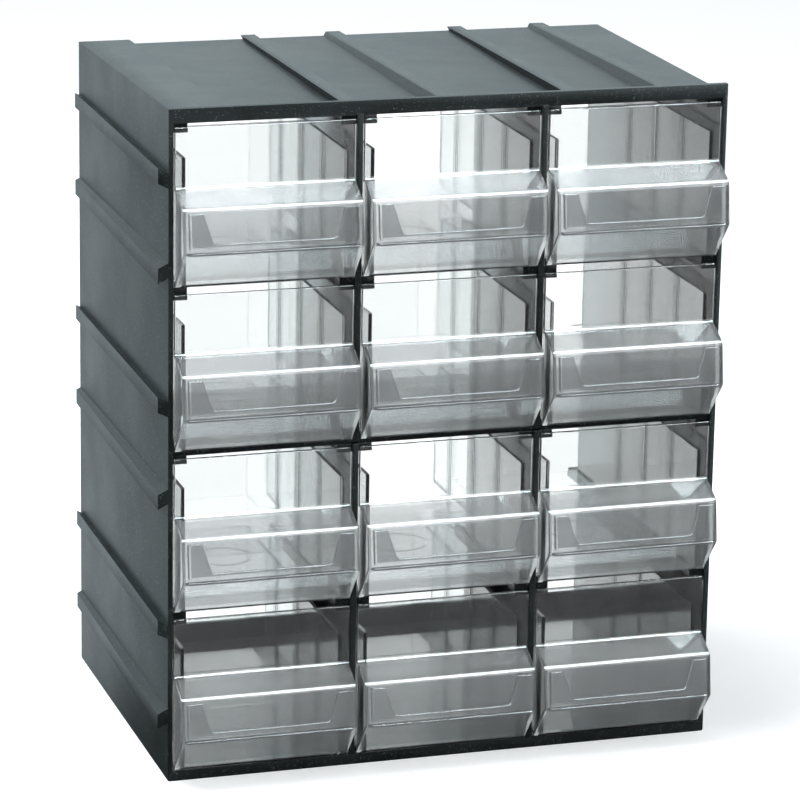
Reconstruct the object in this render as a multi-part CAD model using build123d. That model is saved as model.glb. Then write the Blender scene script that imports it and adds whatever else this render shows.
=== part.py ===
"""Parts bin cabinet: a dark moulded casing with clear drawers on a grid of ledges.

Millimetres. The origin is the centre of the base, +X is right seen from the front,
+Y points to the open back and +Z is up. The drawers pull out along -Y.
"""
from build123d import *
import os

os.makedirs("parts", exist_ok=True)

# Casing, outside the side rails
casing_width = 226.0
casing_depth = 150.0
casing_height = 270.0
side_wall = 2.0
floor_thickness = 4.3
panel_thickness = 1.5  # top panel, below its recess
rim_thickness = 2.5  # front rim that stands up in front of the top panel
back_lip_height = 8.5  # low lip along the floor's back edge
back_lip_thickness = 2.0
corner_radius = 0.8  # underside's long edges

# Dovetail rails on the left side and the top, by which cabinets are joined
rail_pitch = 90.0  # from one pair of rails to the next
side_pair_first = 45.0  # middle of the first side pair, below the top
rail_spread = 19.5  # middle of a pair to the middle of each rail's outer face
rail_width = 6.0
rail_front_height = 4.1
rail_back_height = 1.7
rail_lean = 2.0  # sideways shift of the outer face at the front
rail_root = 0.4  # depth to which a rail is moulded into its wall

# Grid of drawers
columns = 3
rows = 4
storeys = 2
divider_wall = 2.5  # upright column dividers
divider_depth = 80.0
shelf_thickness = 2.0
ledge_width = 5.8
row_gap = 3.0  # between a drawer's front and the next one below
top_reveal = 7.1  # casing's top to the first drawer's top
groove_depth = 0.6
groove_clearance = 0.1

# Running fits
side_gap = 0.5  # drawer's front to the wall beside it
running_gap = 0.3  # under a drawer, and behind its front at the stop
stop_overlap = 2.3  # height of a ledge's end that stops the drawer below

# Drawer
drawer_wall = 1.5
tray_length = 142.0
tray_inset = 2.75  # tray's side behind the edge of the front
tray_drop = 12.0  # tray's rim below the top of the front
window_height = 23.6
ledge_drop = 5.7  # slope of the ledge under the window
nose_top_reach = 11.3
nose_low_reach = 13.6
label_height = 17.2
foot_radius = 2.0  # under the window
lip_radius = 3.0  # ledge's rounded lip
nose_radius = 1.5
edge_radius = 0.45  # outline of the front's sides, and its top
bead_radius = 0.7  # bead along the nose's lower corner
ring_radius = 12.0
ring_width = 1.0
ring_depth = 0.5
ring_place = 61.0  # middle of the floor ring behind the front

# Label pocket on the nose
pocket_gap = 0.7
pocket_plate = 0.8
pocket_margin = 2.2  # to the drawer's side
pocket_edge = 1.2
pocket_drop = 1.6  # pocket's top below the middle of the rounded lip
pocket_foot = 2.3
arm_top = 5.3
arm_bottom = 9.3
window_radius = 2.0
pocket_corner = 1.5  # lower corners of the pocket's outline
pocket_radius = 0.35  # outer edges of the pocket's plate

# Slots in the tray and the divider that drops into them
slot_places = (31.0, 61.0, 91.0)  # behind the front
rib_size = 0.8
cross_thickness = 1.2
cross_clearance = 0.2
cross_drop = 1.0  # divider's top below the tray's rim
cross_slot = 1  # slot that holds the divider
undivided = ((1, 2), (2, 3), (3, 2))  # row and column of drawers without one

# Most of a clear wall's thickness that a rounded edge may take
wall_share = 0.45

# Sizes that follow
front_y = -casing_depth / 2
back_y = casing_depth / 2
panel_top = casing_height - rail_front_height
panel_under = panel_top - panel_thickness
drawer_height = (
    casing_height - top_reveal - floor_thickness - running_gap - (rows - 1) * row_gap
) / rows
row_pitch = drawer_height + row_gap
inner_width = casing_width - 2 * side_wall
bay_width = (inner_width - (columns - 1) * divider_wall) / columns
column_pitch = bay_width + divider_wall
front_width = bay_width - 2 * side_gap
tray_width = front_width - 2 * tray_inset
tray_height = drawer_height - tray_drop
ledge_front = front_y + drawer_wall + running_gap
ledge_height = row_gap - running_gap + stop_overlap
rows_per_storey = rows // storeys


def block(x0, x1, y0, y1, z0, z1):
    """A box given by its limits."""
    middle = ((x0 + x1) / 2, (y0 + y1) / 2, (z0 + z1) / 2)
    return Pos(*middle) * Box(x1 - x0, y1 - y0, z1 - z0)


def seat_height(level):
    """Height at which the drawer of a level is carried; level 0 is the lowest."""
    return floor_thickness + level * row_pitch


def bay_middle(column):
    """X of a column's middle; column 0 is the left one."""
    return (column - (columns - 1) / 2) * column_pitch


def is_shelf_level(level):
    return level % rows_per_storey == 0


def rail(base_low, base_high, lean_low, lean_high):
    """One rail on the plane Z = 0, along Y, tapered in height from front to back.

    The base's low and high edges are X values, and each flank leans by its own amount.
    """
    sections = []
    for y, height in ((front_y, rail_front_height), (back_y, rail_back_height)):
        rise = height / rail_front_height
        corners = [
            (base_low - lean_low * rail_root / rail_front_height, -rail_root),
            (base_high - lean_high * rail_root / rail_front_height, -rail_root),
            (base_high + lean_high * rise, height),
            (base_low + lean_low * rise, height),
        ]
        points = [Vector(x, y, z) for x, z in corners]
        sections.append(Face(Wire.make_polygon(points, close=True)))
    return Solid.make_loft([face.outer_wire() for face in sections], ruled=True)


def rail_pair(middle):
    """Two rails that lean away from each other, so that the pair is a dovetail."""
    pair = []
    for side in (-1, 1):
        root = middle + side * (rail_spread - rail_lean)
        lean = side * rail_lean
        pair.append(rail(root - rail_width / 2, root + rail_width / 2, lean, lean))
    return pair


def top_rails():
    """Rails on the top panel: a strip at the left edge and a pair at every pitch."""
    left = -casing_width / 2
    strip_end = left + rail_spread + rail_width / 2 - rail_lean
    rails = [rail(left, strip_end, 0.0, rail_lean)]
    middle = left + rail_pitch
    while middle + rail_spread + rail_width / 2 < casing_width / 2:
        rails += rail_pair(middle)
        middle += rail_pitch
    return [Pos(0, 0, panel_top) * piece for piece in rails]


def side_rails():
    """Pairs of rails down the left side, on the same pitch as the top's."""
    rails = []
    drop = side_pair_first
    while drop + rail_spread + rail_width / 2 < casing_height:
        rails += rail_pair(-drop)
        drop += rail_pitch
    turned = Pos(-casing_width / 2, 0, casing_height) * Rot(0, -90, 0)
    return [turned * piece for piece in rails]


def ledges(x_wall, direction, y_end, levels):
    """Ledges on one face of a wall, for the given levels; direction is into the bay."""
    inner = x_wall + direction * ledge_width
    x0, x1 = min(x_wall, inner), max(x_wall, inner)
    strips = []
    for level in levels:
        bottom = seat_height(level) - ledge_height
        if level == rows:
            top = panel_under
        elif is_shelf_level(level):
            top = seat_height(level) - shelf_thickness
        else:
            top = seat_height(level)
        strips.append(block(x0, x1, ledge_front, y_end, bottom, top))
    return strips


def groove(x, y_end, z0, z1):
    """Space for a column divider's edge."""
    half = divider_wall / 2 + groove_clearance
    return block(x - half, x + half, front_y, y_end, z0, z1)


def divider_places():
    """X of each column divider."""
    return [bay_middle(i) + column_pitch / 2 for i in range(columns - 1)]


def make_casing():
    """Outer shell, open at the front and back, with its rails, ledges and back lip."""
    half = casing_width / 2
    body = block(-half, half, front_y, back_y, 0, panel_top)
    body = fillet(body.edges().filter_by(Axis.Y).group_by(Axis.Z)[0], corner_radius)
    body += block(-half, half, front_y, front_y + rim_thickness, panel_top, casing_height)
    hollow = inner_width / 2
    body -= block(-hollow, hollow, front_y, back_y, floor_thickness, panel_under)
    lip_top = floor_thickness + back_lip_height
    body += block(-hollow, hollow, back_y - back_lip_thickness, back_y, floor_thickness, lip_top)
    body += top_rails()
    body += side_rails()
    for side in (-1, 1):
        body += ledges(side * hollow, -side, back_y, range(1, rows + 1))
    groove_end = front_y + divider_depth + groove_clearance
    for x in divider_places():
        body -= groove(x, groove_end, panel_under, panel_under + groove_depth)
        body -= groove(x, groove_end, floor_thickness - groove_depth, floor_thickness)
    return body


def make_shelf():
    """Full-width shelf between two storeys, lying on the side walls' ledges."""
    half = inner_width / 2 - groove_clearance
    level = rows_per_storey
    top = seat_height(level)
    under = top - shelf_thickness
    y_end = front_y + divider_depth
    shelf = block(-half, half, ledge_front, y_end, under, top)
    for x in divider_places():
        shelf -= groove(x, y_end, top - groove_depth, top)
        shelf -= groove(x, y_end, under, under + groove_depth)
    return shelf


def make_column_divider(x, storey):
    """Upright wall between two columns of one storey, with ledges on both faces."""
    first = storey * rows_per_storey
    last = first + rows_per_storey
    tongue = groove_depth - groove_clearance
    bottom = seat_height(first) - tongue
    is_top_storey = last == rows
    ceiling = panel_under if is_top_storey else seat_height(last) - shelf_thickness
    half = divider_wall / 2
    y_end = front_y + divider_depth
    wall = block(x - half, x + half, front_y, y_end, bottom, ceiling + tongue)
    for side in (-1, 1):
        wall += ledges(x + side * half, side, y_end, range(first + 1, last + 1))
    return wall


def drawer_profile():
    """Side outline of a drawer's front and floor, (Y, Z), open-topped above the rim."""
    window_foot = drawer_height - window_height
    lip = window_foot - ledge_drop
    above = drawer_height + 2 * drawer_wall
    corners = [
        (0, above),
        (0, window_foot),
        (-nose_top_reach, lip),
        (-nose_low_reach, lip - label_height),
        (0, 0),
        (tray_length, 0),
        (tray_length, above),
    ]
    radii = [0, foot_radius, lip_radius, nose_radius, nose_radius, nose_radius, 0]
    points = [Vector(0, y, z) for y, z in corners]
    outline = Face(Wire.make_polygon(points, close=True))
    for point, radius in zip(points, radii):
        if radius:
            vertex = outline.vertices().sort_by_distance(point)[0]
            outline = outline.fillet_2d(radius, [vertex])
    return outline


def slab(profile, width):
    """A side outline made solid across the given width."""
    return Pos(-width / 2, 0, 0) * extrude(profile, amount=width, dir=(1, 0, 0))


def round_front(front):
    """Rounds the edges that show: the outline of each side and the top."""
    outline = front.faces().filter_by(Axis.X).edges()
    across = front.faces().sort_by(Axis.Z)[-1].edges().filter_by(Axis.X)
    behind = front.faces().sort_by(Axis.Y)[-1].edges().filter_by(Axis.Z)
    shown = [edge for edge in outline + across if edge not in behind]
    return fillet(shown, min(edge_radius, wall_share * drawer_wall))


def label_plane():
    """Plane on the label face: X across, Y up the face, Z out of it."""
    lip = drawer_height - window_height - ledge_drop
    top = Vector(0, -nose_top_reach, lip)
    foot = Vector(0, -nose_low_reach, lip - label_height)
    across = Vector(1, 0, 0)
    up = (top - foot).normalized()
    return Plane(origin=(top + foot) * 0.5, x_dir=across, z_dir=across.cross(up))


def label_pocket():
    """Raised pocket for a label card, with a trapezoid window and an open top."""
    width = front_width - 2 * pocket_margin
    height = label_height - pocket_drop - nose_radius
    depth = pocket_gap + pocket_plate
    pad = Pos(0, 0, depth / 2) * Box(width, height, depth)
    pad = fillet(pad.edges().filter_by(Axis.Z).group_by(Axis.Y)[0], pocket_corner)
    card_width = width - 2 * pocket_edge
    pad -= Pos(0, pocket_edge, pocket_gap / 2) * Box(card_width, height, pocket_gap)
    top_half = width / 2 - arm_top
    foot_half = width / 2 - arm_bottom
    foot = -height / 2 + pocket_foot
    corners = [
        (-foot_half, foot),
        (foot_half, foot),
        (top_half, height / 2 + pocket_edge),
        (-top_half, height / 2 + pocket_edge),
    ]
    window = Face(Wire.make_polygon([Vector(x, y, 0) for x, y in corners], close=True))
    lower = window.vertices().sort_by(Axis.Y)[:2]
    window = window.fillet_2d(window_radius, lower)
    pad -= Pos(0, 0, pocket_gap) * extrude(window, amount=2 * pocket_plate, dir=(0, 0, 1))
    rim = pad.faces().sort_by(Axis.Z)[-1].edges()
    pad = fillet(rim, min(pocket_radius, wall_share * pocket_plate))
    return label_plane() * Pos(0, (nose_radius - pocket_drop) / 2, 0) * pad


def nose_bead():
    """Half-round bead along the nose's lower corner, as wide as the pocket."""
    lip = drawer_height - window_height - ledge_drop
    middle = Pos(0, -nose_low_reach, lip - label_height)
    bead = Cylinder(bead_radius, front_width - 2 * pocket_margin)
    return middle * Rot(0, 90, 0) * bead


def slot_ribs():
    """Pairs of upright ribs inside the tray's walls, which hold a cross divider."""
    wall = tray_width / 2 - drawer_wall
    reach = cross_thickness / 2 + cross_clearance
    ribs = []
    for place in slot_places:
        for side in (-1, 1):
            x0, x1 = sorted((side * (wall - rib_size), side * wall))
            for end in (-1, 1):
                near, far = sorted((place + end * reach, place + end * (reach + rib_size)))
                ribs.append(block(x0, x1, near, far, drawer_wall, tray_height))
    return ribs


def make_drawer():
    """One clear drawer: window, nose with its label pocket, and tray."""
    profile = drawer_profile()
    half_front = front_width / 2
    half_tray = tray_width / 2
    front = slab(profile, front_width) & block(
        -half_front, half_front, -2 * nose_low_reach, drawer_wall, 0, drawer_height
    )
    front = round_front(front)
    tray = slab(profile, tray_width) & block(
        -half_tray, half_tray, 0, tray_length, 0, tray_height
    )
    drawer = front + tray
    cavity = offset(profile, amount=-drawer_wall, kind=Kind.INTERSECTION)
    drawer -= slab(cavity, tray_width - 2 * drawer_wall)
    nose_space = slab(cavity, front_width - 2 * drawer_wall) & block(
        -half_front, half_front, -2 * nose_low_reach, 0, 0, drawer_height
    )
    drawer += nose_bead()
    drawer -= nose_space
    drawer += label_pocket()
    drawer += slot_ribs()
    ring = Cylinder(ring_radius, 2 * ring_depth)
    ring -= Cylinder(ring_radius - ring_width, 2 * ring_depth)
    drawer -= Pos(0, ring_place, 0) * ring
    return drawer


def make_cross_divider():
    """Clear plate that drops into one pair of slots across the tray."""
    width = tray_width - 2 * drawer_wall - 2 * cross_clearance
    place = slot_places[cross_slot]
    half = cross_thickness / 2
    bottom = drawer_wall + cross_clearance
    top = tray_height - cross_drop
    return block(-width / 2, width / 2, place - half, place + half, bottom, top)


def save(piece, name):
    """Write one sub-part under its node's name."""
    piece.label = name
    export_step(piece, f"parts/{name}.step")


save(make_casing(), "casing")
save(make_shelf(), "middle_shelf")
for side_name, x in zip(("left", "right"), divider_places()):
    for storey, storey_name in enumerate(("lower", "upper")):
        save(make_column_divider(x, storey), f"column_divider_{storey_name}_{side_name}")

drawer = make_drawer()
cross_divider = make_cross_divider()
for row in range(1, rows + 1):
    for column in range(1, columns + 1):
        bottom = seat_height(rows - row) + running_gap
        place = Pos(bay_middle(column - 1), front_y, bottom)
        save(place * drawer, f"drawer_row{row}_column{column}")
        if (row, column) not in undivided:
            save(place * cross_divider, f"cross_divider_row{row}_column{column}")
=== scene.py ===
import bpy
import bmesh
import math
from mathutils import Matrix, Vector


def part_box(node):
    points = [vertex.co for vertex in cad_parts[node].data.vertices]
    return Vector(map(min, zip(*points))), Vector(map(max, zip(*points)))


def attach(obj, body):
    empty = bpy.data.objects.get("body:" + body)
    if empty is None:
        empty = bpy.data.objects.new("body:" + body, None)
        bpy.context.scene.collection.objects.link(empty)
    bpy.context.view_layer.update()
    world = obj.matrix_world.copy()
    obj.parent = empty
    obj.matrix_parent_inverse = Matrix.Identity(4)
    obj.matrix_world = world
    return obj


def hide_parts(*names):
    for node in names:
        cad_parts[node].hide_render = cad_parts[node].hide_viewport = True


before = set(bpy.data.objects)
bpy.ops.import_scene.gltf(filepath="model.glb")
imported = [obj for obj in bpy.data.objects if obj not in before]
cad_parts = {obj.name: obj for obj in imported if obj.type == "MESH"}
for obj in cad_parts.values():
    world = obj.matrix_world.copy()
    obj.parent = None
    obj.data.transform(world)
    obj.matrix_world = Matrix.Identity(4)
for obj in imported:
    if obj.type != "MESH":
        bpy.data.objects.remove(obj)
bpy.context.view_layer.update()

# ---- Camera -------------------------------------------------------------------------
# Stands left of the cabinet and above it, where the photograph was taken. The pose comes
# from a fit to the casing's corners; its point of reference is the casing's front lower left.
case_low, case_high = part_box("casing")
rail_reach = 0.0041                                    # side rails stand this far out on the left
front_left = Vector((case_low[0] + rail_reach, case_low[1], 0.0))
camera_yaw = math.radians(17.611)                      # turned right of the cabinet's depth
camera_pitch = math.radians(15.910)                    # looking down
camera_roll = math.radians(1.026)
camera_place = Vector((-0.3705, -1.4610, 0.5870))      # from the front lower left corner
picture_focus = 4080.0                                 # pixels, for a picture 800 wide
picture_width = 800.0

camera_data = bpy.data.cameras.new("camera")
camera = bpy.data.objects.new("camera", camera_data)
bpy.context.scene.collection.objects.link(camera)
bpy.context.scene.camera = camera
camera_data.sensor_width = 36.0
camera_data.lens = picture_focus / picture_width * camera_data.sensor_width
camera_data.clip_start = 0.05
camera_data.clip_end = 50.0
ahead = Vector((
    math.sin(camera_yaw) * math.cos(camera_pitch),
    math.cos(camera_yaw) * math.cos(camera_pitch),
    -math.sin(camera_pitch),
))
level = Vector((math.cos(camera_yaw), -math.sin(camera_yaw), 0.0))
upward = level.cross(ahead)
rightward = level * math.cos(camera_roll) + upward * math.sin(camera_roll)
upward = -level * math.sin(camera_roll) + upward * math.cos(camera_roll)
turn = Matrix((rightward, upward, -ahead)).transposed()
camera.matrix_world = Matrix.Translation(front_left + camera_place) @ turn.to_4x4()

# ---- Studio -------------------------------------------------------------------------
# A white sweep under and behind the cabinet and a dark room in front of it. A gloss and clear
# plastic show both, with the sweep brighter than the paper white that the camera sees. A long
# light overhead draws the bright lines on rounded edges.
scene = bpy.context.scene
scene.view_settings.view_transform = "Standard"
studio_white = (1.0, 1.0, 1.0, 1.0)
sky_colour = (0.92, 0.96, 1.0, 1.0)                    # even light from all round
sky_strength = 0.5
gloss_colour = (0.67, 0.775, 0.815, 1.0)               # of the studio as a gloss shows it
sweep_strength = 1.7                                   # of the sweep, in a gloss or through plastic
room_strength = 0.05                                   # of the dark room in front
sweep_turn = (-0.25, 0.2)                              # from room to sweep, by the way's Y
overhead_strength = 28.0                               # of the long light above the front
overhead_foot = (0.55, 0.68)                           # where it sets in, by the way's Z
overhead_head = (0.88, 0.97)                           # where it ends
overhead_back = (-0.1, 0.1)                            # where it ends to the rear, by the way's Y


def add(tree, kind, **settings):
    """A new node with its settings."""
    node = tree.nodes.new(kind)
    for key, value in settings.items():
        setattr(node, key, value)
    return node


def math_node(tree, operation, first, second):
    """The result of a calculation on two values, each a number or a socket."""
    node = add(tree, "ShaderNodeMath", operation=operation)
    for socket, value in zip(node.inputs, (first, second)):
        if isinstance(value, (int, float)):
            socket.default_value = value
        else:
            tree.links.new(value, socket)
    return node.outputs[0]


def ramp(tree, value, start, end, low, high):
    """A value that rises smoothly from low to high while the input goes from start to end."""
    node = add(tree, "ShaderNodeMapRange", interpolation_type="SMOOTHSTEP")
    tree.links.new(value, node.inputs["Value"])
    node.inputs["From Min"].default_value = start
    node.inputs["From Max"].default_value = end
    node.inputs["To Min"].default_value = low
    node.inputs["To Max"].default_value = high
    return node.outputs["Result"]


def gloss_cast(tree, emitter):
    """Gives a light its colour: cool and subdued in a gloss, white through clear plastic."""
    cast = add(tree, "ShaderNodeMix", data_type="RGBA")
    cast.inputs["A"].default_value = gloss_colour
    cast.inputs["B"].default_value = studio_white
    path = add(tree, "ShaderNodeLightPath")
    tree.links.new(path.outputs["Is Transmission Ray"], cast.inputs["Factor"])
    tree.links.new(cast.outputs["Result"], emitter.inputs["Color"])


def mirrored(tree):
    """1 for what is seen in a gloss or through clear plastic."""
    path = add(tree, "ShaderNodeLightPath")
    return math_node(
        tree, "MAXIMUM", path.outputs["Is Glossy Ray"], path.outputs["Is Transmission Ray"]
    )


world = bpy.data.worlds.new("studio")
scene.world = world
world.use_nodes = True
tree = world.node_tree
tree.nodes.clear()
soft = add(tree, "ShaderNodeBackground")
soft.inputs["Color"].default_value = sky_colour
soft.inputs["Strength"].default_value = sky_strength
white = add(tree, "ShaderNodeBackground")
white.inputs["Color"].default_value = studio_white
studio = add(tree, "ShaderNodeBackground")
gloss_cast(tree, studio)
way = add(tree, "ShaderNodeSeparateXYZ")
tree.links.new(add(tree, "ShaderNodeTexCoord").outputs["Generated"], way.inputs[0])
backdrop = ramp(tree, way.outputs["Y"], *sweep_turn, room_strength, sweep_strength)
overhead = ramp(tree, way.outputs["Z"], *overhead_foot, 0.0, overhead_strength)
for axis, limits in (("Z", overhead_head), ("Y", overhead_back)):
    overhead = math_node(
        tree, "MULTIPLY", overhead, ramp(tree, way.outputs[axis], *limits, 1.0, 0.0)
    )
tree.links.new(math_node(tree, "ADD", backdrop, overhead), studio.inputs["Strength"])
lighting = add(tree, "ShaderNodeMixShader")
tree.links.new(mirrored(tree), lighting.inputs[0])
tree.links.new(soft.outputs[0], lighting.inputs[1])
tree.links.new(studio.outputs[0], lighting.inputs[2])
whole = add(tree, "ShaderNodeMixShader")
tree.links.new(add(tree, "ShaderNodeLightPath").outputs["Is Camera Ray"], whole.inputs[0])
tree.links.new(lighting.outputs[0], whole.inputs[1])
tree.links.new(white.outputs[0], whole.inputs[2])
tree.links.new(whole.outputs[0], add(tree, "ShaderNodeOutputWorld").inputs["Surface"])

floor_half = 3.0
paper_colour = (0.9, 0.9, 0.9, 1.0)
paper_glow = 0.42                                      # lifts it to white for the camera alone
paper_turn = (-0.04, 0.12)                             # Y over which it turns from room to sweep
paper_left = (-0.4, -0.12)                             # X over which it dims to the left
paper_left_share = 0.75                                # of its strength there
floor_mesh = bpy.data.meshes.new("floor")
floor_mesh.from_pydata(
    [(-floor_half, -floor_half, 0), (floor_half, -floor_half, 0),
     (floor_half, floor_half, 0), (-floor_half, floor_half, 0)],
    [], [(0, 1, 2, 3)],
)
floor = bpy.data.objects.new("floor", floor_mesh)
scene.collection.objects.link(floor)
paper = bpy.data.materials.new("paper_sweep")
paper.use_nodes = True
tree = paper.node_tree
tree.nodes.clear()
matte = add(tree, "ShaderNodeBsdfDiffuse")
matte.inputs["Color"].default_value = paper_colour
glow = add(tree, "ShaderNodeEmission")
glow.inputs["Color"].default_value = studio_white
glow.inputs["Strength"].default_value = paper_glow
lifted = add(tree, "ShaderNodeAddShader")
tree.links.new(matte.outputs[0], lifted.inputs[0])
tree.links.new(glow.outputs[0], lifted.inputs[1])
plain = add(tree, "ShaderNodeMixShader")
tree.links.new(add(tree, "ShaderNodeLightPath").outputs["Is Camera Ray"], plain.inputs[0])
tree.links.new(matte.outputs[0], plain.inputs[1])
tree.links.new(lifted.outputs[0], plain.inputs[2])
place = add(tree, "ShaderNodeSeparateXYZ")
tree.links.new(add(tree, "ShaderNodeTexCoord").outputs["Object"], place.inputs[0])
sheet = add(tree, "ShaderNodeEmission")
gloss_cast(tree, sheet)
sheet_strength = math_node(
    tree, "MULTIPLY",
    ramp(tree, place.outputs["Y"], *paper_turn, room_strength, sweep_strength),
    ramp(tree, place.outputs["X"], *paper_left, paper_left_share, 1.0),
)
tree.links.new(sheet_strength, sheet.inputs["Strength"])
whole = add(tree, "ShaderNodeMixShader")
tree.links.new(mirrored(tree), whole.inputs[0])
tree.links.new(plain.outputs[0], whole.inputs[1])
tree.links.new(sheet.outputs[0], whole.inputs[2])
tree.links.new(whole.outputs[0], add(tree, "ShaderNodeOutputMaterial").inputs["Surface"])
floor_mesh.materials.append(paper)

lamp_colour = (0.93, 0.98, 1.0)
lamp_target = Vector((0, 0, 0.15))                     # a little above the cabinet's middle


def lamp(name, place, size, watts):
    """A square soft box aimed at the cabinet."""
    data = bpy.data.lights.new(name, "AREA")
    data.shape = "SQUARE"
    data.size = size
    data.energy = watts
    data.color = lamp_colour
    item = bpy.data.objects.new(name, data)
    scene.collection.objects.link(item)
    item.location = place
    item.rotation_mode = "QUATERNION"
    item.rotation_quaternion = (lamp_target - Vector(place)).to_track_quat("-Z", "Y")


lamp("top_box", (-0.4, 0.1, 1.3), 0.8, 14.5)
lamp("left_box", (-1.3, -0.6, 0.8), 0.7, 7.0)
lamp("front_box", (0.6, -1.5, 0.7), 0.6, 4.0)

# ---- Casing -------------------------------------------------------------------------
# One moulding in near-black polystyrene with pale specks of filler, and with the rails that
# join it to the next cabinet. The outside has the mould's grain, and the inside is smoother
# from its polished core.
moulding_edge = 0.00035                                # rounding of the mould's edges
dark_tones = (0.0065, 0.0085, 0.0085, 1), (0.011, 0.0135, 0.014, 1)
filler_colour = (0.11, 0.125, 0.125, 1)
patch_turns, filler_turns, grain_turns = 28.0, 1500.0, 2600.0  # of each pattern, per metre
patch_limits = (0.3, 0.7)                              # of the noise, from one tone to the other
filler_limits = (0.62, 0.72)                           # only the noise's peaks are filler
outer_roughness = (0.45, 0.54)
inner_roughness = (0.12, 0.18)
head_on_gloss = 0.3                                    # below the usual 0.5: the grain breaks it up
skin_left_right, skin_front_back = 0.001, 0.0005       # how far in the outside's finish reaches
skin_below, skin_above = 0.003, 0.0055                 # above, the rails and the top panel
grain_strength, grain_height = 0.12, 0.0002
plastic = bpy.data.materials.new("dark_moulding")
plastic.use_nodes = True
tree = plastic.node_tree
shader = tree.nodes["Principled BSDF"]
shader.inputs["IOR"].default_value = 1.5
shader.inputs["Specular IOR Level"].default_value = head_on_gloss
coordinates = add(tree, "ShaderNodeTexCoord")


def noise(tree, coordinates, scale, detail):
    """Noise in the piece's own space; the scale is in turns per metre."""
    node = add(tree, "ShaderNodeTexNoise")
    node.inputs["Scale"].default_value = scale
    node.inputs["Detail"].default_value = detail
    tree.links.new(coordinates.outputs["Object"], node.inputs["Vector"])
    return node.outputs["Fac"]


patches = noise(tree, coordinates, patch_turns, 5.0)
tone = add(tree, "ShaderNodeMix", data_type="RGBA")
tone.inputs["A"].default_value, tone.inputs["B"].default_value = dark_tones
tree.links.new(ramp(tree, patches, *patch_limits, 0.0, 1.0), tone.inputs["Factor"])
filler = add(tree, "ShaderNodeMix", data_type="RGBA")
filler.inputs["B"].default_value = filler_colour
tree.links.new(tone.outputs["Result"], filler.inputs["A"])
specks = noise(tree, coordinates, filler_turns, 3.0)
tree.links.new(ramp(tree, specks, *filler_limits, 0.0, 1.0), filler.inputs["Factor"])
tree.links.new(filler.outputs["Result"], shader.inputs["Base Color"])
inside = 1.0
place = add(tree, "ShaderNodeSeparateXYZ")
tree.links.new(coordinates.outputs["Object"], place.inputs[0])
for axis, low, high in (
    ("X", case_low[0] + rail_reach + skin_left_right, case_high[0] - skin_left_right),
    ("Y", case_low[1] + skin_front_back, case_high[1] - skin_front_back),
    ("Z", case_low[2] + skin_below, case_high[2] - skin_above),
):
    above = math_node(tree, "GREATER_THAN", place.outputs[axis], low)
    below = math_node(tree, "LESS_THAN", place.outputs[axis], high)
    inside = math_node(tree, "MULTIPLY", inside, math_node(tree, "MULTIPLY", above, below))
finish = add(tree, "ShaderNodeMix", data_type="FLOAT")
tree.links.new(inside, finish.inputs["Factor"])
for side, roughness in (("A", outer_roughness), ("B", inner_roughness)):
    tree.links.new(ramp(tree, patches, *patch_limits, *roughness), finish.inputs[side])
tree.links.new(finish.outputs["Result"], shader.inputs["Roughness"])
bump = add(tree, "ShaderNodeBump")
bump.inputs["Strength"].default_value = grain_strength
bump.inputs["Distance"].default_value = grain_height
tree.links.new(noise(tree, coordinates, grain_turns, 2.0), bump.inputs["Height"])
tree.links.new(bump.outputs[0], shader.inputs["Normal"])


def eased_moulding(node, name):
    """A moulding with rounded edges, made from the node's own shape, which it replaces."""
    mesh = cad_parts[node].data.copy()
    mesh.name = name
    shape = bmesh.new()
    shape.from_mesh(mesh)
    bmesh.ops.remove_doubles(shape, verts=shape.verts, dist=1e-6)
    bmesh.ops.dissolve_limit(
        shape, angle_limit=math.radians(1.0), verts=shape.verts, edges=shape.edges
    )
    for face in shape.faces:
        face.smooth = True
    shape.to_mesh(mesh)
    shape.free()
    piece = bpy.data.objects.new(name, mesh)
    scene.collection.objects.link(piece)
    bevel = piece.modifiers.new("edges", "BEVEL")
    bevel.width = moulding_edge
    bevel.segments = 2
    bevel.limit_method = "ANGLE"
    bevel.angle_limit = math.radians(30.0)
    bevel.harden_normals = True
    mesh.materials.clear()
    mesh.materials.append(plastic)
    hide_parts(node)
    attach(piece, "cabinet")


eased_moulding("casing", "casing_shell")

# ---- Shelf and column dividers ------------------------------------------------------
# Plain dark mouldings. The shelf lies on the casing's ledges and halves it, and each divider
# stands in grooves and carries the drawers of the columns beside it on ledges of its own.
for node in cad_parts:
    if node.startswith(("middle", "column")):
        eased_moulding(node, node + "_moulding")

# ---- Drawers and cross dividers -----------------------------------------------------
# Clear polystyrene, polished in the mould: a window, a nose with a label pocket and a tray.
# The melt's flow leaves faint waves in it. In front of the casing the nose gets a painted milky
# glow, for the light its extra layers scatter, and a darker tint, painted shade that holds that
# glow down.
# Fingers have dulled it in patches.
window_tint = (0.94, 0.955, 0.955, 1)
# The nose's darker tint is painted shade, and its smaller share of passing light gives a painted
# milky glow.
nose_painted_shade_tint = (0.58, 0.595, 0.60, 1)
window_share, nose_painted_glow_share = 0.97, 0.82                  # of the light that passes into them
nose_rise = (0.0012, 0.0004)                           # in front of the casing: all nose, none
haze_limits, haze_roughness = (0.4, 0.75), (0.01, 0.07)
touch_limits, touch_roughness = (0.35, 0.7), (0.0, 0.05)
haze_turns, touch_turns, wave_turns = 45.0, 80.0, 55.0  # of each pattern, per metre
wave_strength, wave_height = 0.1, 0.0003
clear = bpy.data.materials.new("clear_moulding")
clear.use_nodes = True
tree = clear.node_tree
shader = tree.nodes["Principled BSDF"]
shader.inputs["IOR"].default_value = 1.57
coordinates = add(tree, "ShaderNodeTexCoord")
place = add(tree, "ShaderNodeSeparateXYZ")
tree.links.new(coordinates.outputs["Object"], place.inputs[0])
nose = ramp(
    tree, place.outputs["Y"], case_low[1] - nose_rise[0], case_low[1] - nose_rise[1], 1.0, 0.0
)
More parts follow.
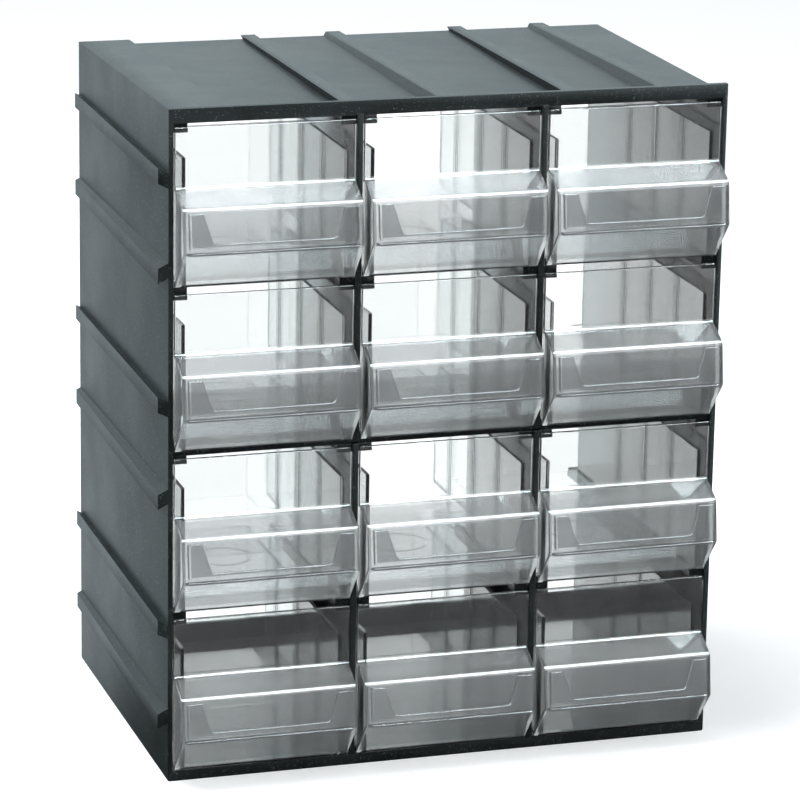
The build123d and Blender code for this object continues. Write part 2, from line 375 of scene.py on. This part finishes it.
# Painted shade: the nose's darker tint.
tint = add(tree, "ShaderNodeMix", data_type="RGBA")
tint.inputs["A"].default_value = window_tint
tint.inputs["B"].default_value = nose_painted_shade_tint
tree.links.new(nose, tint.inputs["Factor"])
tree.links.new(tint.outputs["Result"], shader.inputs["Base Color"])
haze = ramp(tree, noise(tree, coordinates, haze_turns, 4.0), *haze_limits, *haze_roughness)
touched = ramp(tree, noise(tree, coordinates, touch_turns, 3.0), *touch_limits, *touch_roughness)
tree.links.new(
    math_node(tree, "ADD", haze, math_node(tree, "MULTIPLY", touched, nose)),
    shader.inputs["Roughness"],
)
# Painted glow: less light passes into the nose, and the rest shows as a milky diffuse.
tree.links.new(
    ramp(tree, nose, 0.0, 1.0, window_share, nose_painted_glow_share), shader.inputs["Transmission Weight"]
)
bump = add(tree, "ShaderNodeBump")
bump.inputs["Strength"].default_value = wave_strength
bump.inputs["Distance"].default_value = wave_height
tree.links.new(noise(tree, coordinates, wave_turns, 1.5), bump.inputs["Height"])
tree.links.new(bump.outputs[0], shader.inputs["Normal"])
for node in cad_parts:
    if node.startswith(("drawer", "cross")):
        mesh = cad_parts[node].data
        mesh.materials.clear()
        mesh.materials.append(clear)

# ---- Corner marks -------------------------------------------------------------------
# A small raised ring on each side of every drawer's front, close above its foot. The pins
# that push the moulding out of its tool leave them, so they are of the drawer's own plastic.
mark_radius = 0.00085                                  # to the middle of the ring's bead
mark_bead = 0.00018                                    # radius of the bead itself
mark_height = 0.0036                                   # above the drawer's underside
mark_reach = 0.0004                                    # in front of the casing's front
mark_steps, mark_bead_steps = 20, 8                    # corners of the ring and of its bead
marks = bpy.data.node_groups.new("corner_marks", "GeometryNodeTree")
inputs = {}
for label in ("Ring radius", "Bead radius", "Drawer width"):
    socket = marks.interface.new_socket(label, in_out="INPUT", socket_type="NodeSocketFloat")
    inputs[label] = socket.identifier
marks.interface.new_socket("Geometry", in_out="OUTPUT", socket_type="NodeSocketGeometry")
given = add(marks, "NodeGroupInput")
spine = add(marks, "GeometryNodeCurvePrimitiveCircle")
spine.inputs["Resolution"].default_value = mark_steps
marks.links.new(given.outputs["Ring radius"], spine.inputs["Radius"])
bead = add(marks, "GeometryNodeCurvePrimitiveCircle")
bead.inputs["Resolution"].default_value = mark_bead_steps
marks.links.new(given.outputs["Bead radius"], bead.inputs["Radius"])
ring = add(marks, "GeometryNodeCurveToMesh")
marks.links.new(spine.outputs["Curve"], ring.inputs["Curve"])
marks.links.new(bead.outputs["Curve"], ring.inputs["Profile Curve"])
ends = add(marks, "GeometryNodeMeshLine", mode="END_POINTS")
ends.inputs["Count"].default_value = 2
for side, share in (("Start Location", -0.5), ("Offset", 0.5)):
    corner = add(marks, "ShaderNodeCombineXYZ")
    reach = math_node(marks, "MULTIPLY", given.outputs["Drawer width"], share)
    marks.links.new(reach, corner.inputs[0])
    marks.links.new(corner.outputs[0], ends.inputs[side])
spread = add(marks, "GeometryNodeInstanceOnPoints")
spread.inputs["Rotation"].default_value = (0.0, math.pi / 2, 0.0)  # they face sideways
marks.links.new(ends.outputs["Mesh"], spread.inputs["Points"])
marks.links.new(ring.outputs["Mesh"], spread.inputs["Instance"])
real = add(marks, "GeometryNodeRealizeInstances")
marks.links.new(spread.outputs["Instances"], real.inputs["Geometry"])
finish = add(marks, "GeometryNodeSetMaterial")
finish.inputs["Material"].default_value = clear
marks.links.new(real.outputs["Geometry"], finish.inputs["Geometry"])
marks.links.new(finish.outputs["Geometry"], add(marks, "NodeGroupOutput").inputs["Geometry"])

for node in list(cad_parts):
    if node.startswith("drawer"):
        low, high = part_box(node)
        piece = bpy.data.objects.new(node + "_marks", bpy.data.meshes.new("host"))
        scene.collection.objects.link(piece)
        maker = piece.modifiers.new("marks", "NODES")
        maker.node_group = marks
        maker[inputs["Ring radius"]] = mark_radius
        maker[inputs["Bead radius"]] = mark_bead
        maker[inputs["Drawer width"]] = high[0] - low[0]
        graph = bpy.context.evaluated_depsgraph_get()
        mesh = bpy.data.meshes.new_from_object(piece.evaluated_get(graph))
        piece.modifiers.remove(maker)
        piece.data = mesh
        mesh.transform(Matrix.Translation((
            (low[0] + high[0]) / 2, case_low[1] - mark_reach, low[2] + mark_height,
        )))
        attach(piece, node)
